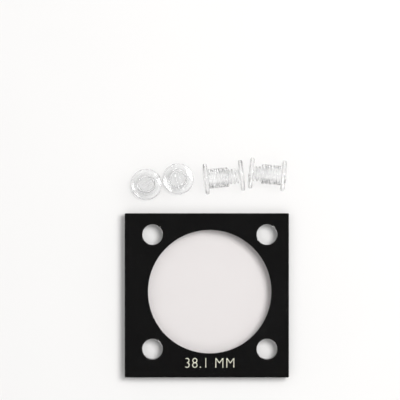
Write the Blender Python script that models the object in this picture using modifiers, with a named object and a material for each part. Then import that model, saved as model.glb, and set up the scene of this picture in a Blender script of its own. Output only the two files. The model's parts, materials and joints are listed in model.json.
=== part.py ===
"""Screw-together acrylic holder for one large silver dollar, with its loose fasteners.

A black insert carries the coin in a round opening and is stacked between two clear covers.
Four clear fasteners clamp the stack through its corner holes: a slotted screw threads into a
slotted post. The holder lies on its back cover with the holes still empty, and the fasteners stand
and lie in a row beyond its upper edge, each screw a few turns into its post.

Metres, +Z up. The origin is the middle of the back cover's outer face.
"""

from math import atan2, cos, pi, radians, sin, sqrt

import bpy
from mathutils import Vector

MM = 0.001

# Coin, corner holes and the material left round them
COIN_DIAMETER = 38.1 * MM
COIN_CLEARANCE = 0.05 * MM
HOLE_DIAMETER = 6.35 * MM
HOLE_TO_COIN_WEB = 2.75 * MM
HOLE_INSET = 7.7 * MM

# The coin and hole pattern sits a little up and to the right on the plates, which leaves the wide
# band under the coin for the stamped size
PATTERN_SHIFT_X = 0.9 * MM
PATTERN_SHIFT_Y = 1.1 * MM

# Plates
COVER_THICKNESS = 2.0 * MM
INSERT_THICKNESS = 2.4 * MM
LAYER_GAP = 0.1 * MM
PLATE_CORNER_RADIUS = 0.3 * MM
PLATE_EDGE_BREAK = 0.12 * MM

# Fasteners
HEAD_OVERLAP = 1.6 * MM
HEAD_THICKNESS = 1.6 * MM
HEAD_EDGE_RADIUS = 0.45 * MM
HEAD_CROWN = 0.25 * MM
SLOT_WIDTH = 1.3 * MM
SLOT_DEPTH = 0.8 * MM
POST_HOLE_CLEARANCE = 0.15 * MM
POST_WALL = 0.475 * MM
POST_MOUTH_CHAMFER = 0.2 * MM
THREAD_CLEARANCE = 0.15 * MM
SCREW_LENGTH = 5.6 * MM
SCREW_TIP_CHAMFER = 0.5 * MM
TIGHTENING_ROOM = 0.4 * MM

# How the fasteners were put down: bare thread left between head and post, heading and tilt of the
# axis from screw to post, step up or down from the row's middle, and the turn of the screwdriver
# slots about the axis. The first two stand on their screw heads. The row lies a little to the right.
BARE_THREAD = (1.6 * MM, 2.2 * MM, 3.4 * MM, 2.4 * MM)
HEADING = (0, 0, radians(186), radians(-5))
TILT = (radians(90), radians(90), 0, 0)
ROW_STEP = (-2.4 * MM, -0.7 * MM, -0.2 * MM, 0.7 * MM)
SLOT_TURN = (radians(35), radians(110), radians(70), radians(20))
ROW_GAP = 5.9 * MM
ROW_SHIFT_X = 0.8 * MM
FASTENER_SPACING = 0.3 * MM
FLOOR_CLEARANCE = 0.1 * MM

# Facets
COIN_FACETS = 80
HOLE_FACETS = 32
CORNER_FACETS = 4
TURNED_FACETS = 28
ROUND_FACETS = 3

BEVEL_ANGLE = radians(35)
LARGEST_RIM_ROUND = 0.45
MERGE_DISTANCE = 0.001 * MM

# Sizes that follow from the ones above
OPENING_DIAMETER = COIN_DIAMETER + 2 * COIN_CLEARANCE
HOLE_SPACING = (OPENING_DIAMETER / 2 + HOLE_TO_COIN_WEB + HOLE_DIAMETER / 2) * sqrt(2)
PLATE_SIDE = HOLE_SPACING + 2 * HOLE_INSET
STACK_THICKNESS = 2 * COVER_THICKNESS + INSERT_THICKNESS + 2 * LAYER_GAP
HEAD_DIAMETER = HOLE_DIAMETER + 2 * HEAD_OVERLAP
POST_DIAMETER = HOLE_DIAMETER - 2 * POST_HOLE_CLEARANCE
POST_BORE_DIAMETER = POST_DIAMETER - 2 * POST_WALL
POST_LENGTH = STACK_THICKNESS - TIGHTENING_ROOM
SCREW_DIAMETER = POST_BORE_DIAMETER - 2 * THREAD_CLEARANCE

CLEAR_SHEET = {"colour": (0.94, 0.95, 0.95, 1.0), "roughness": 0.05, "transmission": 0.9}
BLACK_SHEET = {"colour": (0.008, 0.008, 0.008, 1.0), "roughness": 0.12, "transmission": 0.0}
CLEAR_MOULDED = {"colour": (0.90, 0.91, 0.92, 1.0), "roughness": 0.12, "transmission": 0.9}


def clear_scene():
    for obj in list(bpy.data.objects):
        bpy.data.objects.remove(obj)


def new_collection(name):
    collection = bpy.data.collections.new(name)
    bpy.context.scene.collection.children.link(collection)
    return collection


def plastic(name, colour, roughness, transmission):
    material = bpy.data.materials.new(name)
    material.use_nodes = True
    shader = material.node_tree.nodes["Principled BSDF"]
    shader.inputs["Base Color"].default_value = colour
    shader.inputs["Roughness"].default_value = roughness
    shader.inputs["Metallic"].default_value = 0.0
    shader.inputs["IOR"].default_value = 1.49
    shader.inputs["Transmission Weight"].default_value = transmission
    return material


def add_object(name, data, collection, material=None, parent=None):
    obj = bpy.data.objects.new(name, data)
    collection.objects.link(obj)
    obj.parent = parent
    if material:
        data.materials.append(material)
    return obj


def arc(centre_x, centre_y, radius, start, end, steps):
    """Points on an arc, both ends included."""
    angles = [start + (end - start) * i / steps for i in range(steps + 1)]
    return [(centre_x + radius * cos(a), centre_y + radius * sin(a)) for a in angles]


def plate_outline():
    """The square of every plate, with its corners rounded."""
    radius = PLATE_CORNER_RADIUS
    inner = PLATE_SIDE / 2 - radius
    points = []
    for quarter, (side_x, side_y) in enumerate(((1, 1), (-1, 1), (-1, -1), (1, -1))):
        start = quarter * pi / 2
        points += arc(side_x * inner, side_y * inner, radius, start, start + pi / 2, CORNER_FACETS)
    return points


def circle(centre_x, centre_y, diameter, facets):
    return arc(centre_x, centre_y, diameter / 2, 0, 2 * pi, facets)[:-1]


def corner_holes():
    half = HOLE_SPACING / 2
    across = (PATTERN_SHIFT_X - half, PATTERN_SHIFT_X + half)
    upward = (PATTERN_SHIFT_Y - half, PATTERN_SHIFT_Y + half)
    return [circle(x, y, HOLE_DIAMETER, HOLE_FACETS) for y in upward for x in across]


def coin_opening():
    return circle(PATTERN_SHIFT_X, PATTERN_SHIFT_Y, OPENING_DIAMETER, COIN_FACETS)


def add_outline(curve, points):
    spline = curve.splines.new("POLY")
    spline.points.add(len(points) - 1)
    for point, (x, y) in zip(spline.points, points):
        point.co = (x, y, 0, 1)
    spline.use_cyclic_u = True


def plate(name, thickness, bottom, openings, material, collection):
    """A sheet cut to the common outline, with its edges broken all round."""
    curve = bpy.data.curves.new(name, "CURVE")
    curve.dimensions = "2D"
    curve.fill_mode = "BOTH"
    curve.extrude = thickness / 2
    add_outline(curve, plate_outline())
    for opening in openings:
        add_outline(curve, opening)
    sheet = add_object(name, curve, collection, material)
    sheet.location.z = bottom + thickness / 2
    weld = sheet.modifiers.new("weld_caps", "WELD")
    weld.merge_threshold = MERGE_DISTANCE
    edge = sheet.modifiers.new("edge_break", "BEVEL")
    edge.width = PLATE_EDGE_BREAK
    edge.segments = 1
    edge.limit_method = "ANGLE"
    edge.angle_limit = BEVEL_ANGLE
    edge.harden_normals = True
    return sheet


def turned(name, profile, material, collection, parent):
    """A piece turned about its own Z from a profile of (radius, height) points, top to bottom."""
    mesh = bpy.data.meshes.new(name)
    edges = [(i, i + 1) for i in range(len(profile) - 1)]
    mesh.from_pydata([(radius, 0, height) for radius, height in profile], edges, [])
    piece = add_object(name, mesh, collection, material, parent)
    spin = piece.modifiers.new("turned", "SCREW")
    spin.steps = spin.render_steps = TURNED_FACETS
    spin.use_merge_vertices = True
    spin.merge_threshold = MERGE_DISTANCE
    return piece


def head_profile():
    """The head's rim and crowned face, from the seat at height 0 up to the axis, as (radius, height)."""
    rim_height = HEAD_THICKNESS - HEAD_CROWN
    edge_radius = min(HEAD_EDGE_RADIUS, LARGEST_RIM_ROUND * rim_height)
    flat = HEAD_DIAMETER / 2 - edge_radius
    lower_rim = arc(flat, edge_radius, edge_radius, -pi / 2, 0, ROUND_FACETS)
    upper_rim = arc(flat, rim_height - edge_radius, edge_radius, 0, pi / 2, ROUND_FACETS)
    crown_radius = (flat**2 + HEAD_CROWN**2) / (2 * HEAD_CROWN)
    crown_start = atan2(crown_radius - HEAD_CROWN, flat)
    crown = arc(0, HEAD_THICKNESS - crown_radius, crown_radius, crown_start, pi / 2, ROUND_FACETS)
    return lower_rim + upper_rim + crown[1:-1] + [(0, HEAD_THICKNESS)]


def cut_slot(piece, face_height, cutters):
    """A screwdriver slot right across the head's face at that height."""
    bpy.ops.mesh.primitive_cube_add(size=1)
    cutter = bpy.context.object
    cutter.name = piece.name + "_slot"
    cutter.data.name = cutter.name
    for holder in list(cutter.users_collection):
        holder.objects.unlink(cutter)
    cutters.objects.link(cutter)
    cutter.parent = piece
    cutter.scale = (2 * HEAD_DIAMETER, SLOT_WIDTH, 2 * SLOT_DEPTH)
    cutter.location.z = face_height
    cutter.hide_render = True
    cutter.display_type = "WIRE"
    slot = piece.modifiers.new("slot", "BOOLEAN")
    slot.operation = "DIFFERENCE"
    slot.object = cutter


def make_screw(name, axis, material, parts, cutters):
    """Head below the seat at height 0, shank above it."""
    radius = SCREW_DIAMETER / 2
    tip = [
        (0, SCREW_LENGTH),
        (radius - SCREW_TIP_CHAMFER, SCREW_LENGTH),
        (radius, SCREW_LENGTH - SCREW_TIP_CHAMFER),
        (radius, 0),
    ]
    head = [(r, -height) for r, height in head_profile()]
    screw = turned(name, tip + head, material, parts, axis)
    cut_slot(screw, -HEAD_THICKNESS, cutters)
    return screw


def make_post(name, axis, material, parts, cutters):
    """Barrel with its mouth at height 0, blind thread bore, head on top."""
    radius = POST_DIAMETER / 2
    bore = POST_BORE_DIAMETER / 2
    head = [(r, POST_LENGTH + height) for r, height in reversed(head_profile())]
    barrel = [
        (radius, POST_LENGTH),
        (radius, POST_MOUTH_CHAMFER),
        (radius - POST_MOUTH_CHAMFER, 0),
        (bore, 0),
        (bore, POST_LENGTH),
        (0, POST_LENGTH),
    ]
    post = turned(name, head + barrel, material, parts, axis)
    cut_slot(post, POST_LENGTH + HEAD_THICKNESS, cutters)
    return post


def post_direction(number):
    """Unit vector along a fastener's axis, from screw to post."""
    level = cos(TILT[number])
    return Vector((level * cos(HEADING[number]), level * sin(HEADING[number]), sin(TILT[number])))


def room(number, side):
    """What a fastener takes up along X, Y or Z, which are sides 0, 1 and 2."""
    share = post_direction(number)[side]
    length = BARE_THREAD[number] + POST_LENGTH + 2 * HEAD_THICKNESS
    return length * abs(share) + HEAD_DIAMETER * sqrt(1 - share**2)


def run_off(number, side):
    """How far a post moves to that side, -1 left or +1 right, as it comes off its screw."""
    return max(0, side * post_direction(number).x) * (SCREW_LENGTH - BARE_THREAD[number])


def row_centres():
    """Middle of each fastener: side by side beyond the plates' upper edge, in a loose row."""
    fasteners = range(len(BARE_THREAD))
    row_y = PLATE_SIDE / 2 + ROW_GAP + max(room(number, 1) for number in fasteners) / 2
    edges, taken = [], 0
    for number in fasteners:
        left = taken + FASTENER_SPACING + run_off(number, -1)
        right = left + room(number, 0)
        taken = right + run_off(number, +1)
        edges.append((left, right))
    middle = (edges[0][0] + edges[-1][1]) / 2
    centres = []
    for number, (left, right) in enumerate(edges):
        across = (left + right) / 2 - middle + ROW_SHIFT_X
        height = FLOOR_CLEARANCE + room(number, 2) / 2
        centres.append(Vector((across, row_y + ROW_STEP[number], height)))
    return centres


def lay_fastener(number, centre, material, parts, cutters):
    """A screw and its post on one axis, resting on the rims of their heads or on the screw's face."""
    half_grip = (BARE_THREAD[number] + POST_LENGTH) / 2
    axis = add_object(f"fastener_{number + 1}_axis", None, parts)
    axis.rotation_euler = (0, pi / 2 - TILT[number], HEADING[number])
    axis.location = centre - half_grip * post_direction(number)
    screw = make_screw(f"screw_{number + 1}", axis, material, parts, cutters)
    post = make_post(f"post_{number + 1}", axis, material, parts, cutters)
    post.location.z = BARE_THREAD[number]
    for piece in (screw, post):
        piece.rotation_euler.z = SLOT_TURN[number]


def stack_plates(clear, black, parts):
    insert_bottom = COVER_THICKNESS + LAYER_GAP
    front_bottom = insert_bottom + INSERT_THICKNESS + LAYER_GAP
    holes = corner_holes()
    plate("back_cover", COVER_THICKNESS, 0, holes, clear, parts)
    plate("coin_insert", INSERT_THICKNESS, insert_bottom, holes + [coin_opening()], black, parts)
    plate("front_cover", COVER_THICKNESS, front_bottom, holes, clear, parts)


def main():
    clear_scene()
    parts = new_collection("coin_holder")
    cutters = new_collection("cutters")
    stack_plates(plastic("clear_acrylic", **CLEAR_SHEET), plastic("black_acrylic", **BLACK_SHEET), parts)
    moulded = plastic("clear_moulded_plastic", **CLEAR_MOULDED)
    for number, centre in enumerate(row_centres()):
        lay_fastener(number, centre, moulded, parts, cutters)


main()
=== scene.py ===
"""Looks of a screw-together acrylic coin holder: two polished clear covers, a black insert with a
gold foil size, and four clear moulded screws, each turned a little way into its post.
"""

import json
from math import asin, atan2, cos, hypot, pi, radians, sin, tau

import bmesh
import bpy
from bpy.props import FloatProperty, FloatVectorProperty, PointerProperty, StringProperty
from mathutils import Euler, Matrix, Vector


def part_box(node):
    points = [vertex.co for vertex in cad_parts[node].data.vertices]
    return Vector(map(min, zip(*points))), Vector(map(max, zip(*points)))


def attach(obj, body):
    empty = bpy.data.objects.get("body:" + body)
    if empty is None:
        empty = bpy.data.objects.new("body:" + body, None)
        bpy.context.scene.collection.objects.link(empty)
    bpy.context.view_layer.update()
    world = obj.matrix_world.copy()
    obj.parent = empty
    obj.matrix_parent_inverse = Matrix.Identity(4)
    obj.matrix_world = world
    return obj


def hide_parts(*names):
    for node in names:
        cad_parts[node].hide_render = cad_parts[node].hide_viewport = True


bl_info = {
    "name": "Acrylic coin holder",
    "version": (1, 0, 0),
    "blender": (4, 5, 0),
    "location": "3D View > Sidebar > Coin Holder",
    "description": "Builds the plates, foil size, threaded fasteners and studio of a coin holder",
    "category": "Object",
}

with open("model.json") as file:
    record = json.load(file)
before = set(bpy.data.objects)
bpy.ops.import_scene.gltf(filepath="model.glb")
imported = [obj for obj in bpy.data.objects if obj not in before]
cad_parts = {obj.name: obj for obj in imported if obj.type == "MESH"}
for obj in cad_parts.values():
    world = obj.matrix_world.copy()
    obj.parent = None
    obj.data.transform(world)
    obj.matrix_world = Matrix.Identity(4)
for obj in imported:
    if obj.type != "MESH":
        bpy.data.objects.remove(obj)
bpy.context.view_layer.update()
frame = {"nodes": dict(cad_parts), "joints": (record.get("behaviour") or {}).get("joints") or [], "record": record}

MM = 0.001
INCH = 25.4 * MM
THREADS_PER_INCH = 24

# How far each screw and its post are turned about their axis, which sets the way their slots point
PAIR_TURN = {1: radians(35), 2: radians(110), 3: radians(70), 4: radians(20)}

# Facets
OPENING_FACETS = 192
HOLE_FACETS = 64
CORNER_SEGMENTS = 6
EDGE_SEGMENTS = 3
SPIN_STEPS = 72
ARC_STEPS = 6
ROWS_PER_THREAD = 14

# Edges that turn by more than these are rounded on the plates, and shaded sharp on the fasteners
RIM_ANGLE = radians(60)
SHARP_ANGLE = radians(32)

# The upright part of a normal from which a plate's face is shaded flat
FLAT_NORMAL = 0.999

# Points this close are one, in metres
MERGE_DISTANCE = 1e-7

# Lettering before it is stretched, where the font's size is 1: points this close are one, and the
# letters stand this many times the font's own spacing apart
STROKE_MERGE = 1e-5
LETTER_SPACING = 1.12

# The upright part of a sheet's normal: up to the first it is a cut edge, from the second a face
EDGE_NORMAL = 0.3
FACE_NORMAL = 0.75

# About how many waves a diagonal wave texture of scale 1 makes in one metre along an axis
DIAGONAL_WAVES = 1.6

# Optics and finish of the plastics
ACRYLIC_IOR = 1.49
POLYSTYRENE_IOR = 1.58
SAW_MARK_DEPTH = 0.01 * MM
MOULDED_PLASTIC = "clear_polystyrene_moulded"


def linear(hex_colour):
    """sRGB hex digits as linear red, green and blue."""
    channels = [int(hex_colour[i : i + 2], 16) / 255 for i in (0, 2, 4)]
    return [c / 12.92 if c <= 0.04045 else ((c + 0.055) / 1.055) ** 2.4 for c in channels]


def length(name, description, default):
    """A size in metres that a user may change."""
    return FloatProperty(name=name, description=description, default=default, unit="LENGTH", precision=5)


def tint(name, description, hex_colour):
    """A colour that a user may change."""
    return FloatVectorProperty(
        name=name, description=description, default=linear(hex_colour), subtype="COLOR", size=3, min=0, max=1
    )


class PlateSettings(bpy.types.PropertyGroup):
    """Sizes and colours of the three plates"""

    coin_opening: length("Coin opening", "Diameter of the insert's round opening", 38.2 * MM)
    hole_diameter: length("Corner hole", "Diameter of the holes for the posts", 6.35 * MM)
    corner_radius: length("Corner radius", "Rounding of the plates' four corners", 0.3 * MM)
    edge_break: length("Edge break", "Rounding of every cut edge", 0.12 * MM)
    clear_tint: tint("Clear sheet", "Colour of the clear acrylic", "FFFDFD")
    black_tint: tint("Black sheet", "Colour of the black acrylic's faces", "0E0E0E")
    sawn_tint: tint("Sawn black", "Colour of the black acrylic's cut edges", "1E1C1B")


class FastenerSettings(bpy.types.PropertyGroup):
    """Sizes and colour of the screws and posts"""

    head_diameter: length("Head diameter", "Across the round heads", 9.55 * MM)
    head_thickness: length("Head thickness", "Seat to the top of the crown", 1.6 * MM)
    head_crown: length("Head crown", "How far the head's face rises to its middle", 0.25 * MM)
    head_edge: length("Head edge", "Rounding of the head's rim", 0.45 * MM)
    slot_width: length("Slot width", "Width of the screwdriver slot", 1.3 * MM)
    slot_depth: length("Slot depth", "Depth of the screwdriver slot", 0.8 * MM)
    slot_round: length("Slot rounding", "Rounding at the foot of the slot", 0.15 * MM)
    screw_diameter: length("Screw diameter", "Over the crests of the thread", 4.8 * MM)
    screw_length: length("Screw length", "Shank under the head", 5.6 * MM)
    post_diameter: length("Post diameter", "Outside of the barrel", 6.05 * MM)
    post_length: length("Post length", "Barrel under the head", 6.2 * MM)
    mouth_chamfer: length("Mouth chamfer", "Broken outer edge of the post's mouth", 0.2 * MM)
    thread_pitch: length("Thread pitch", "Advance of one turn", INCH / THREADS_PER_INCH)
    thread_depth: length("Thread depth", "Crest to root on the screw", 0.5 * MM)
    bore_thread_depth: length("Bore thread depth", "Crest to root of the moulded bore", 0.25 * MM)
    thread_clearance: length("Thread clearance", "Gap between screw and post", 0.15 * MM)
    thread_lead: length("Thread lead-in", "Tapered start of both threads", 0.5 * MM)
    clear_tint: tint("Moulded plastic", "Colour of the clear fasteners", "FDFDFD")


class FoilSettings(bpy.types.PropertyGroup):
    """Words, sizes and colours of the stamped line"""

    words: StringProperty(name="Size", description="Coin size stamped under the opening", default="38.1 MM")
    letter_height: length("Letter height", "Height of the stamped figures", 3.0 * MM)
    line_width: length("Line width", "Width of the stamped line", 15.2 * MM)
    drop: length("Drop", "From the opening's centre down to the line's middle", 22.0 * MM)
    thickness: length("Foil thickness", "How far the foil stands off the insert", 0.02 * MM)
    stroke_cut: FloatProperty(
        name="Stroke cut",
        description="How far strokes are thinned, as a share of the font's size",
        default=0.02,
    )
    foil_tint: tint("Foil", "Colour of the stamped foil", "CCCDBD")
    worn_tint: tint("Worn foil", "Colour of the foil where the die pressed less", "A8A999")


class StageSettings(bpy.types.PropertyGroup):
    """Camera, floor and light"""

    view_width: length("View width", "Width of what the camera sees", 124.3 * MM)
    camera_distance: length("Camera distance", "Height of the camera over the floor", 1.25)
    floor_tint: tint("Floor", "Colour of the matt floor", "F2F1F0")
    floor_drop: length("Floor drop", "Air under the back cover", 0.05 * MM)
    key_power: FloatProperty(
        name="Key power", description="Light from the upper right", default=4.5, unit="POWER"
    )
    room_light: FloatProperty(name="Room light", description="Soft light from all round", default=1.0, min=0)


def set_inputs(tree, node, inputs):
    """Gives each input of a node its value, or links it to the output that feeds it."""
    for socket, source in inputs.items():
        if isinstance(source, bpy.types.NodeSocket):
            tree.links.new(source, node.inputs[socket])
        else:
            node.inputs[socket].default_value = source


def add_node(tree, kind, inputs=None, **settings):
    """A shader node with its settings, and for each input a value or the output that feeds it."""
    made = tree.nodes.new("ShaderNode" + kind)
    for name, value in settings.items():
        setattr(made, name, value)
    set_inputs(tree, made, inputs or {})
    return made


def new_material(name):
    """A material with its node tree, its Principled shader and its output."""
    material = bpy.data.materials.new(name)
    material.use_nodes = True
    nodes = material.node_tree.nodes
    return material, material.node_tree, nodes["Principled BSDF"], nodes["Material Output"]


def per_mm(size_mm):
    """Texture scale for features of that many millimetres."""
    return 1 / (size_mm * MM)


def opaque(colour):
    """Red, green and blue with full alpha."""
    return (*colour, 1)


def let_light_through(tree, shader, output, share):
    """Clear plastic passes light straight on to what lies behind it, less what its faces mirror away."""
    light_path = add_node(tree, "LightPath")
    passing = add_node(tree, "BsdfTransparent", {"Color": (share, share, share, 1)})
    seen = shader.outputs["BSDF"]
    for ray in ("Is Shadow Ray", "Is Diffuse Ray"):
        mixed = add_node(
            tree, "MixShader", {"Fac": light_path.outputs[ray], 1: seen, 2: passing.outputs["BSDF"]}
        )
        seen = mixed.outputs["Shader"]
    set_inputs(tree, output, {"Surface": seen})


def sheet_edges(tree, coords):
    """1 on a sheet's cut edges and 0 on its polished faces."""
    normal = add_node(tree, "SeparateXYZ", {"Vector": coords.outputs["Normal"]})
    upright = add_node(tree, "Math", {0: normal.outputs["Z"]}, operation="ABSOLUTE")
    edges = add_node(
        tree,
        "MapRange",
        {
            "Value": upright.outputs["Value"],
            "From Min": EDGE_NORMAL,
            "From Max": FACE_NORMAL,
            "To Min": 1,
            "To Max": 0,
        },
    )
    return edges.outputs["Result"]


def sheet_roughness(tree, haze, edges, shows, faces, cut):
    """A sheet's roughness: its faces go from clean to hazed as the haze passes the levels where it
    shows, and its cut edges are even.
    """
    hazed = add_node(
        tree,
        "MapRange",
        {
            "Value": haze.outputs["Fac"],
            "From Min": shows[0],
            "From Max": shows[1],
            "To Min": faces[0],
            "To Max": faces[1],
        },
    )
    rough = add_node(tree, "MapRange", {"Value": edges, "To Min": hazed.outputs["Result"], "To Max": cut})
    return rough.outputs["Result"]


def saw_marks(tree, place, edges, pitch_mm, wander):
    """Height of the saw's marks on a sheet's cut edges, further apart than real ones so that they show."""
    scale = per_mm(pitch_mm) / DIAGONAL_WAVES
    waves = add_node(
        tree,
        "TexWave",
        {"Vector": place, "Scale": scale, "Distortion": wander, "Detail": 2},
        bands_direction="DIAGONAL",
    )
    marks = add_node(tree, "Math", {0: waves.outputs["Fac"], 1: edges}, operation="MULTIPLY")
    return marks.outputs["Value"]


def clear_cast_acrylic(settings):
    """Cast acrylic sheet, polished faces and sawn edges: clear as glass, with faint finger haze and
    hairline scratches on the faces, and a frosted look on the edges.
    """
    finger_mm = 14
    # Hairlines wider than real ones, so that they show, and shallow beside a saw mark
    hair_width_mm = 0.35
    hair_length_mm = 8.75
    hair_slant = radians(28)
    hair_depth = 0.15
    material, tree, shader, output = new_material("clear_cast_acrylic_polished")
    coords = add_node(tree, "TexCoord")
    place = coords.outputs["Object"]
    edges = sheet_edges(tree, coords)
    haze = add_node(
        tree, "TexNoise", {"Vector": place, "Scale": per_mm(finger_mm), "Detail": 4, "Roughness": 0.6}
    )
    rough = sheet_roughness(tree, haze, edges, shows=(0.45, 0.75), faces=(0.005, 0.03), cut=0.22)
    stretch = (hair_width_mm / hair_length_mm, 1, 1)
    hairs = add_node(tree, "Mapping", {"Vector": place, "Rotation": (0, 0, hair_slant), "Scale": stretch})
    scratch = add_node(
        tree, "TexNoise", {"Vector": hairs.outputs["Vector"], "Scale": per_mm(hair_width_mm), "Detail": 1}
    )
    scratched = add_node(
        tree, "MapRange", {"Value": scratch.outputs["Fac"], "From Min": 0.7, "From Max": 0.76}
    )
    sawn = saw_marks(tree, place, edges, pitch_mm=1.0, wander=1.5)
    marks = add_node(
        tree, "Math", {0: scratched.outputs["Result"], 1: hair_depth, 2: sawn}, operation="MULTIPLY_ADD"
    )
    relief = add_node(
        tree, "Bump", {"Height": marks.outputs["Value"], "Strength": 0.25, "Distance": SAW_MARK_DEPTH}
    )
    set_inputs(
        tree,
        shader,
        {
            "Base Color": opaque(settings.clear_tint),
            "IOR": ACRYLIC_IOR,
            "Specular IOR Level": 0.3,
            "Transmission Weight": 1,
            "Roughness": rough,
            "Normal": relief.outputs["Normal"],
        },
    )
    let_light_through(tree, shader, output, share=1.0)
    return material


def black_cast_acrylic(settings):
    """Cast black acrylic sheet, polished: a deep gloss black that shows a little finger haze, with
    satin grey cut edges.
    """
    finger_mm = 11
    material, tree, shader, _ = new_material("black_cast_acrylic_polished")
    coords = add_node(tree, "TexCoord")
    place = coords.outputs["Object"]
    edges = sheet_edges(tree, coords)
    haze = add_node(
        tree, "TexNoise", {"Vector": place, "Scale": per_mm(finger_mm), "Detail": 5, "Roughness": 0.65}
    )
    rough = sheet_roughness(tree, haze, edges, shows=(0.4, 0.7), faces=(0.04, 0.09), cut=0.4)
    colour = add_node(
        tree,
        "Mix",
        {"Factor": edges, "A": opaque(settings.black_tint), "B": opaque(settings.sawn_tint)},
        data_type="RGBA",
    )
    sawn = saw_marks(tree, place, edges, pitch_mm=0.75, wander=1.2)
    relief = add_node(tree, "Bump", {"Height": sawn, "Strength": 0.3, "Distance": SAW_MARK_DEPTH})
    set_inputs(
        tree,
        shader,
        {
            "Base Color": colour.outputs["Result"],
            "IOR": ACRYLIC_IOR,
            "Roughness": rough,
            "Normal": relief.outputs["Normal"],
        },
    )
    return material


def clear_moulded_plastic(settings):
    """Clear injection-moulded polystyrene: glassy and a touch milky, with slow flow waves that bend
    the highlights and a faint moulded haze that softens them.
    """
    wave_mm = 2.2
    wave_height = 0.06 * MM
    haze_mm = 0.8
    material, tree, shader, output = new_material(MOULDED_PLASTIC)
    place = add_node(tree, "TexCoord").outputs["Object"]
    flow = add_node(
        tree, "TexNoise", {"Vector": place, "Scale": per_mm(wave_mm), "Detail": 2, "Distortion": 0.6}
    )
    relief = add_node(
        tree, "Bump", {"Height": flow.outputs["Fac"], "Strength": 0.3, "Distance": wave_height}
    )
    haze = add_node(tree, "TexNoise", {"Vector": place, "Scale": per_mm(haze_mm), "Detail": 3})
    rough = add_node(
        tree,
        "MapRange",
        {"Value": haze.outputs["Fac"], "From Min": 0.4, "From Max": 0.7, "To Min": 0.02, "To Max": 0.1},
    )
    set_inputs(
        tree,
        shader,
        {
            "Base Color": opaque(settings.clear_tint),
            "IOR": POLYSTYRENE_IOR,
            "Transmission Weight": 0.88,
            "Roughness": rough.outputs["Result"],
            "Normal": relief.outputs["Normal"],
        },
    )
    let_light_through(tree, shader, output, share=0.97)
    return material


def fastener_plastic(settings):
    """The plastic that screws and posts share, made when the first of them asks for it."""
    return bpy.data.materials.get(MOULDED_PLASTIC) or clear_moulded_plastic(settings)


def stamped_foil(settings):
    """Hot-stamped metallised foil: pale gold, satin, a little uneven where the die pressed."""
    press_mm = 0.5
    material, tree, shader, _ = new_material("gold_foil_hot_stamped")
    place = add_node(tree, "TexCoord").outputs["Object"]
    press = add_node(tree, "TexNoise", {"Vector": place, "Scale": per_mm(press_mm), "Detail": 3})
    colour = add_node(
        tree,
        "Mix",
        {"Factor": press.outputs["Fac"], "A": opaque(settings.foil_tint), "B": opaque(settings.worn_tint)},
        data_type="RGBA",
    )
    rough = add_node(tree, "MapRange", {"Value": press.outputs["Fac"], "To Min": 0.35, "To Max": 0.6})
    set_inputs(
        tree,
        shader,
        {"Base Color": colour.outputs["Result"], "Metallic": 0.6, "Roughness": rough.outputs["Result"]},
    )
    return material


def matt_floor(settings):
    """Matt pale laminate: even, with the slightest mottle."""
    mottle_mm = 30
    darkest = 0.985
    material, tree, shader, _ = new_material("pale_laminate_matt")
    place = add_node(tree, "TexCoord").outputs["Object"]
    mottle = add_node(tree, "TexNoise", {"Vector": place, "Scale": per_mm(mottle_mm), "Detail": 3})
    shade = [channel * darkest for channel in settings.floor_tint]
    colour = add_node(
        tree,
        "Mix",
        {"Factor": mottle.outputs["Fac"], "A": opaque(settings.floor_tint), "B": opaque(shade)},
        data_type="RGBA",
    )
    set_inputs(
        tree,
        shader,
        {"Base Color": colour.outputs["Result"], "Roughness": 0.9, "Specular IOR Level": 0.1},
    )
    return material


def add_object(name, data):
    """A new object at the origin, in the scene."""
    made = bpy.data.objects.new(name, data)
    bpy.context.scene.collection.objects.link(made)
    return made


def place_piece(name, mesh, material, body, node=None):
    """Puts a finished mesh in the scene, on its body and in place of its CAD node."""
    piece = add_object(name, mesh)
    mesh.materials.append(material)
    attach(piece, body)
    if node:
        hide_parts(node)


def mesh_of(name, bm):
    """The finished bmesh as a mesh."""
    mesh = bpy.data.meshes.new(name)
    bm.to_mesh(mesh)
    bm.free()
    return mesh


def evaluated_mesh(source):
    """A new mesh of an object as its modifiers or its font leave it."""
    shown = source.evaluated_get(bpy.context.evaluated_depsgraph_get())
    return bpy.data.meshes.new_from_object(shown)


def round_off(bm, geom, radius, segments, affect="EDGES"):
    """Rounds edges, or the corners of a flat face."""
    bmesh.ops.bevel(
        bm, geom=geom, offset=radius, segments=segments, profile=0.5, affect=affect, material=-1
    )


def hole_centres():
    """Middles of the four corner holes, from the openings that the record states."""
    boxes = [opening["box_m"] for opening in frame["record"]["physics"]["openings"]]
    return [(Vector(low) + Vector(high)) / 2 for low, high in boxes]


def pattern_centre():
    """Middle of the coin opening, which is the middle of the corner holes."""
    centres = hole_centres()
    return sum(centres, Vector()) / len(centres)


def cut_circle(bm, centre, diameter, facets):
    """The outline of a round cut."""
    place = Matrix.Translation((centre.x, centre.y, 0))
    bmesh.ops.create_circle(bm, cap_ends=False, radius=diameter / 2, segments=facets, matrix=place)


def raise_faces(bm, thickness):
    """Gives flat faces their thickness upwards, as a closed solid."""
    raised = bmesh.ops.extrude_face_region(bm, geom=bm.faces[:])["geom"]
    top = [item for item in raised if isinstance(item, bmesh.types.BMVert)]
    bmesh.ops.translate(bm, verts=top, vec=(0, 0, thickness))
    bmesh.ops.recalc_face_normals(bm, faces=bm.faces[:])


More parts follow.
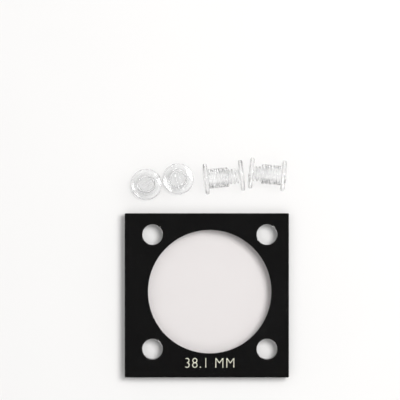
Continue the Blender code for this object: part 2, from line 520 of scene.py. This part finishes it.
def cut_sheet(name, node, settings, opening=False):
    """A square sheet in the place of its CAD node, drilled, and rounded at every cut edge."""
    low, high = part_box(node)
    bm = bmesh.new()
    bmesh.ops.create_grid(bm, x_segments=1, y_segments=1, size=(high.x - low.x) / 2)
    round_off(bm, bm.verts[:], settings.corner_radius, CORNER_SEGMENTS, affect="VERTICES")
    bmesh.ops.delete(bm, geom=bm.faces[:], context="FACES_ONLY")
    for centre in hole_centres():
        cut_circle(bm, centre, settings.hole_diameter, HOLE_FACETS)
    if opening:
        cut_circle(bm, pattern_centre(), settings.coin_opening, OPENING_FACETS)
    bmesh.ops.triangle_fill(bm, edges=bm.edges[:], use_beauty=True, use_dissolve=False)
    bmesh.ops.translate(bm, verts=bm.verts[:], vec=(0, 0, low.z))
    raise_faces(bm, high.z - low.z)
    rims = [edge for edge in bm.edges if edge.calc_face_angle() > RIM_ANGLE]
    round_off(bm, rims, settings.edge_break, EDGE_SEGMENTS)
    for face in bm.faces:
        face.smooth = abs(face.normal.z) < FLAT_NORMAL
    return mesh_of(name, bm)


def stroke_outline(settings):
    """The stamped words as flat faces, their strokes thinned, in the font's own size."""
    words = bpy.data.curves.new("foil_words", "FONT")
    words.body = settings.words
    words.fill_mode = "FRONT"
    words.offset = -settings.stroke_cut
    words.space_character = LETTER_SPACING
    outline = add_object("foil_words", words)
    flat = evaluated_mesh(outline)
    bpy.data.objects.remove(outline)
    bm = bmesh.new()
    bm.from_mesh(flat)
    bpy.data.meshes.remove(flat)
    bmesh.ops.remove_doubles(bm, verts=bm.verts[:], dist=STROKE_MERGE)
    for face in bm.faces:
        face.smooth = False
    return bm


def stamped_line(settings):
    """The words at their stamped size, raised off the insert's upper face."""
    bm = stroke_outline(settings)
    low, high = (Vector(pick(v.co[i] for v in bm.verts) for i in range(3)) for pick in (min, max))
    bmesh.ops.translate(bm, verts=bm.verts[:], vec=-(low + high) / 2)
    stretch = (settings.line_width / (high.x - low.x), settings.letter_height / (high.y - low.y), 1)
    bmesh.ops.scale(bm, verts=bm.verts[:], vec=stretch)
    middle = pattern_centre() - Vector((0, settings.drop, 0))
    middle.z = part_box("coin_insert")[1].z
    bmesh.ops.translate(bm, verts=bm.verts[:], vec=middle)
    raise_faces(bm, settings.thickness)
    return bm


def arc(centre_r, centre_z, radius, start, end):
    """Profile points on an arc, both ends included."""
    angles = [start + (end - start) * i / ARC_STEPS for i in range(ARC_STEPS + 1)]
    return [(centre_r + radius * cos(a), centre_z + radius * sin(a)) for a in angles]


def head_profile(settings):
    """From the seat at height 0, round the rim and over the crown to the axis."""
    rim = settings.head_thickness - settings.head_crown
    flat = settings.head_diameter / 2 - settings.head_edge
    lower = arc(flat, settings.head_edge, settings.head_edge, -pi / 2, 0)
    upper = arc(flat, rim - settings.head_edge, settings.head_edge, 0, pi / 2)
    crown_radius = (flat**2 + settings.head_crown**2) / (2 * settings.head_crown)
    crown_start = atan2(crown_radius - settings.head_crown, flat)
    crown = arc(0, settings.head_thickness - crown_radius, crown_radius, crown_start, pi / 2)
    return lower + upper + crown[1:-1] + [(0, settings.head_thickness)]


def thread_rows(radius, start, end, settings):
    """Profile points close enough together to carry the thread."""
    rows = round(abs(end - start) / settings.thread_pitch * ROWS_PER_THREAD)
    return [(radius, start + (end - start) * i / rows) for i in range(rows + 1)]


def turned(profile):
    """A closed solid turned about Z from (radius, height) points that end on the axis."""
    bm = bmesh.new()
    points = [bm.verts.new((radius, 0, height)) for radius, height in profile]
    lines = [bm.edges.new(pair) for pair in zip(points, points[1:])]
    bmesh.ops.spin(
        bm, geom=points + lines, cent=(0, 0, 0), axis=(0, 0, 1), angle=tau, steps=SPIN_STEPS, use_merge=True
    )
    bmesh.ops.remove_doubles(bm, verts=bm.verts[:], dist=MERGE_DISTANCE)
    bmesh.ops.recalc_face_normals(bm, faces=bm.faces[:])
    return bm


def groove(turns):
    """Depth of a rounded thread at that many turns along its helix: 0 on the crest, 1 in the root."""
    across = abs(2 * (turns % 1) - 1)
    return across * across * (3 - 2 * across)


def cut_thread(bm, radius, sink, shift, settings):
    """Sinks a right-hand thread into the turned wall of that radius. sink gives the depth from the
    groove's share and the height, and shift is how far height 0 stands off the screw's seat, so that
    the threads of screw and post run in step.
    """
    for vert in bm.verts:
        out = hypot(vert.co.x, vert.co.y)
        if abs(out - radius) > MERGE_DISTANCE:
            continue
        height = vert.co.z + shift
        turns = height / settings.thread_pitch - atan2(vert.co.y, vert.co.x) / tau
        depth = sink(groove(turns), vert.co.z)
        vert.co.x *= (out - depth) / out
        vert.co.y *= (out - depth) / out


def screw_body(settings):
    """Head below the seat at height 0, threaded shank above it with a tapered tip."""
    radius = settings.screw_diameter / 2
    lead = settings.thread_lead
    tip = [(0, settings.screw_length)]
    shank = thread_rows(radius, settings.screw_length, 0, settings)
    head = [(r, -height) for r, height in head_profile(settings)]
    bm = turned(tip + shank + head)

    def sink(share, height):
        return max(share, 1 - (settings.screw_length - height) / lead) * settings.thread_depth

    cut_thread(bm, radius, sink, 0, settings)
    return bm


def post_body(settings, bare):
    """Barrel with its mouth at height 0, threaded blind bore, head on top. bare is how far the mouth
    stands off the screw's seat.
    """
    outer = settings.post_diameter / 2
    bore = settings.screw_diameter / 2 + settings.thread_clearance
    lead = settings.thread_lead
    head = [(r, settings.post_length + height) for r, height in reversed(head_profile(settings))]
    barrel = [
        (outer, settings.post_length),
        (outer, settings.mouth_chamfer),
        (outer - settings.mouth_chamfer, 0),
    ]
    wall = thread_rows(bore, 0, settings.post_length, settings)
    bm = turned(head + barrel + wall + [(0, settings.post_length)])

    def sink(share, height):
        return min(share, height / lead) * settings.bore_thread_depth

    cut_thread(bm, bore, sink, bare, settings)
    return bm


def cut_slot(bm, face_height, settings):
    """The moulded screwdriver slot across a head's face, as a Boolean on the finished body."""
    # The cutter is centred on the face, so half its height cuts, and it runs out past both sides
    tool = bmesh.new()
    bmesh.ops.create_cube(tool, size=1)
    sizes = (2 * settings.head_diameter, settings.slot_width, 2 * settings.slot_depth)
    bmesh.ops.scale(tool, verts=tool.verts[:], vec=sizes)
    long_edges = [e for e in tool.edges if abs(e.verts[0].co.x - e.verts[1].co.x) > settings.head_diameter]
    round_off(tool, long_edges, settings.slot_round, EDGE_SEGMENTS)
    bmesh.ops.translate(tool, verts=tool.verts[:], vec=(0, 0, face_height))
    body = add_object("slotted", mesh_of("slotted", bm))
    cutter = add_object("slot", mesh_of("slot", tool))
    slot = body.modifiers.new("slot", "BOOLEAN")
    slot.operation = "DIFFERENCE"
    slot.object = cutter
    cut = evaluated_mesh(body)
    for helper in (body, cutter):
        bpy.data.objects.remove(helper)
    return cut


def screw_axis(number):
    """The fastener's own frame: origin in the screw's seat, Z from the head towards the post."""
    joint = next(j for j in frame["joints"] if j["name"] == f"screw_{number}_turn")
    along = Vector(joint["axis"]).normalized()
    turn = Euler((0, pi / 2 - asin(along.z), atan2(along.y, along.x))).to_matrix().to_4x4()
    return Matrix.Translation(joint["pos_m"]) @ turn @ Matrix.Rotation(PAIR_TURN[number], 4, "Z")


def bare_thread(number):
    """How far the post's mouth stands off the screw's seat."""
    to_axis = screw_axis(number).inverted()
    return min((to_axis @ vert.co).z for vert in frame["nodes"][f"post_{number}"].data.vertices)


def finish_turned(name, mesh, place):
    """Names a turned body, puts it in its place and shades its round walls smooth."""
    mesh.name = name
    mesh.transform(place)
    mesh.shade_smooth()
    mesh.set_sharp_from_angle(angle=SHARP_ANGLE)


class HOLDER_OT_covers(bpy.types.Operator):
    """Cut and polish the two clear covers"""

    bl_idname = "coin_holder.covers"
    bl_label = "Clear Covers"

    def execute(self, context):
        settings = context.scene.holder_plates
        material = clear_cast_acrylic(settings)
        for node in ("back_cover", "front_cover"):
            name = node + "_sheet"
            place_piece(name, cut_sheet(name, node, settings), material, node, node)
        return {"FINISHED"}


class HOLDER_OT_insert(bpy.types.Operator):
    """Cut the black insert with its coin opening"""

    bl_idname = "coin_holder.insert"
    bl_label = "Black Insert"

    def execute(self, context):
        settings = context.scene.holder_plates
        node = "coin_insert"
        name = node + "_sheet"
        mesh = cut_sheet(name, node, settings, opening=True)
        place_piece(name, mesh, black_cast_acrylic(settings), node, node)
        return {"FINISHED"}


class HOLDER_OT_foil(bpy.types.Operator):
    """Stamp the coin's size on the insert in gold foil"""

    bl_idname = "coin_holder.foil"
    bl_label = "Foil Size"

    def execute(self, context):
        settings = context.scene.holder_foil
        mesh = mesh_of("foil_size", stamped_line(settings))
        place_piece("foil_size", mesh, stamped_foil(settings), "coin_insert")
        return {"FINISHED"}


class HOLDER_OT_screws(bpy.types.Operator):
    """Turn, thread and slot the four screws"""

    bl_idname = "coin_holder.screws"
    bl_label = "Slotted Screws"

    def execute(self, context):
        settings = context.scene.holder_fasteners
        material = fastener_plastic(settings)
        for number in PAIR_TURN:
            node = f"screw_{number}"
            name = node + "_threaded"
            mesh = cut_slot(screw_body(settings), -settings.head_thickness, settings)
            finish_turned(name, mesh, screw_axis(number))
            place_piece(name, mesh, material, node, node)
        return {"FINISHED"}


class HOLDER_OT_posts(bpy.types.Operator):
    """Turn, bore, thread and slot the four posts"""

    bl_idname = "coin_holder.posts"
    bl_label = "Threaded Posts"

    def execute(self, context):
        settings = context.scene.holder_fasteners
        material = fastener_plastic(settings)
        face_height = settings.post_length + settings.head_thickness
        for number in PAIR_TURN:
            node = f"post_{number}"
            name = node + "_bored"
            bare = bare_thread(number)
            mesh = cut_slot(post_body(settings, bare), face_height, settings)
            finish_turned(name, mesh, screw_axis(number) @ Matrix.Translation((0, 0, bare)))
            place_piece(name, mesh, material, node, node)
        return {"FINISHED"}


class HOLDER_OT_stage(bpy.types.Operator):
    """Lay the pale floor, light it softly and look straight down"""

    bl_idname = "coin_holder.stage"
    bl_label = "Studio"

    # Lengths in metres, unless their names say otherwise
    VIEW_CENTRE = Vector((-2.1, 29.5, 0)) * MM
    SENSOR_MM = 36.0
    FLOOR_SIDE = 3.0
    FLOOR_CELLS = 8
    KEY_DISTANCE = 0.85
    KEY_ELEVATION = radians(67)
    KEY_HEADING = radians(33)
    KEY_DIAMETER = 0.38

    # Brightness of the room by the sine of the elevation
    ROOM_FADE = (
        (0.0, 0.9),
        (0.12, 0.8),
        (0.35, 0.2),
        (0.7, 0.2),
        (0.84, 1.15),
        (0.965, 1.15),
        (0.99, 0.03),
    )

    def execute(self, context):
        settings = context.scene.holder_stage
        context.scene.view_settings.view_transform = "Standard"
        self.lay_floor(settings)
        self.light_room(context, settings)
        self.hang_key(settings)
        self.aim_camera(context, settings)
        return {"FINISHED"}

    def lay_floor(self, settings):
        """A wide floor just under the back cover."""
        bm = bmesh.new()
        cells = self.FLOOR_CELLS
        place = Matrix.Translation((0, 0, -settings.floor_drop))
        bmesh.ops.create_grid(
            bm, x_segments=cells, y_segments=cells, size=self.FLOOR_SIDE / 2, matrix=place
        )
        floor = add_object("floor", mesh_of("floor", bm))
        floor.data.materials.append(matt_floor(settings))

    def light_room(self, context, settings):
        """Pale low walls, a dim band above them, a bright ring high up, and a dark patch straight
        overhead, which is what the polished covers mirror to the camera.
        """
        world = bpy.data.worlds.new("studio_room")
        world.use_nodes = True
        tree = world.node_tree
        coords = add_node(tree, "TexCoord")
        direction = add_node(tree, "SeparateXYZ", {"Vector": coords.outputs["Generated"]})
        fade = add_node(tree, "ValToRGB", {"Fac": direction.outputs["Z"]})
        fade.color_ramp.interpolation = "EASE"
        stops = fade.color_ramp.elements
        for place, _ in self.ROOM_FADE[1:-1]:
            stops.new(place)
        for stop, (place, level) in zip(stops, self.ROOM_FADE):
            stop.position = place
            stop.color = (level, level, level, 1)
        background = tree.nodes["Background"]
        set_inputs(tree, background, {"Color": fade.outputs["Color"], "Strength": settings.room_light})
        context.scene.world = world

    def hang_key(self, settings):
        """A round softbox at the upper right, aimed at the holder."""
        lamp = bpy.data.lights.new("key_softbox", "AREA")
        lamp.shape = "DISK"
        lamp.size = self.KEY_DIAMETER
        lamp.energy = settings.key_power
        key = add_object("key_softbox", lamp)
        aim = Euler((0, pi / 2 - self.KEY_ELEVATION, self.KEY_HEADING))
        key.location = aim.to_matrix() @ Vector((0, 0, self.KEY_DISTANCE))
        key.rotation_euler = aim

    def aim_camera(self, context, settings):
        """A camera straight above, with a lens that takes in the view's width."""
        lens = bpy.data.cameras.new("camera")
        lens.sensor_width = self.SENSOR_MM
        lens.lens = self.SENSOR_MM * settings.camera_distance / settings.view_width
        camera = add_object("camera", lens)
        camera.location = self.VIEW_CENTRE + Vector((0, 0, settings.camera_distance))
        context.scene.camera = camera


class HOLDER_PT_sidebar(bpy.types.Panel):
    """The holder's operators and the sizes and colours they read"""

    bl_idname = "HOLDER_PT_sidebar"
    bl_label = "Coin Holder"
    bl_space_type = "VIEW_3D"
    bl_region_type = "UI"
    bl_category = "Coin Holder"

    def draw(self, context):
        for operator in OPERATORS:
            self.layout.operator(operator.bl_idname)
        for name, group in SETTINGS.items():
            box = self.layout.box()
            for key in group.__annotations__:
                box.prop(getattr(context.scene, name), key)


SETTINGS = {
    "holder_plates": PlateSettings,
    "holder_fasteners": FastenerSettings,
    "holder_foil": FoilSettings,
    "holder_stage": StageSettings,
}
OPERATORS = (
    HOLDER_OT_stage,
    HOLDER_OT_covers,
    HOLDER_OT_insert,
    HOLDER_OT_foil,
    HOLDER_OT_screws,
    HOLDER_OT_posts,
)


def register():
    """Adds the settings to the scene, and the operators and their panel to Blender."""
    for group in SETTINGS.values():
        bpy.utils.register_class(group)
    for operator in OPERATORS:
        bpy.utils.register_class(operator)
    bpy.utils.register_class(HOLDER_PT_sidebar)
    for name, group in SETTINGS.items():
        setattr(bpy.types.Scene, name, PointerProperty(type=group))


def unregister():
    """Takes out all that register adds."""
    for name in SETTINGS:
        delattr(bpy.types.Scene, name)
    bpy.utils.unregister_class(HOLDER_PT_sidebar)
    for made in (*OPERATORS, *SETTINGS.values()):
        bpy.utils.unregister_class(made)


def main():
    register()
    bpy.ops.coin_holder.stage()
    bpy.ops.coin_holder.covers()
    bpy.ops.coin_holder.insert()
    bpy.ops.coin_holder.foil()
    bpy.ops.coin_holder.screws()
    bpy.ops.coin_holder.posts()


if __name__ == "__main__":
    main()
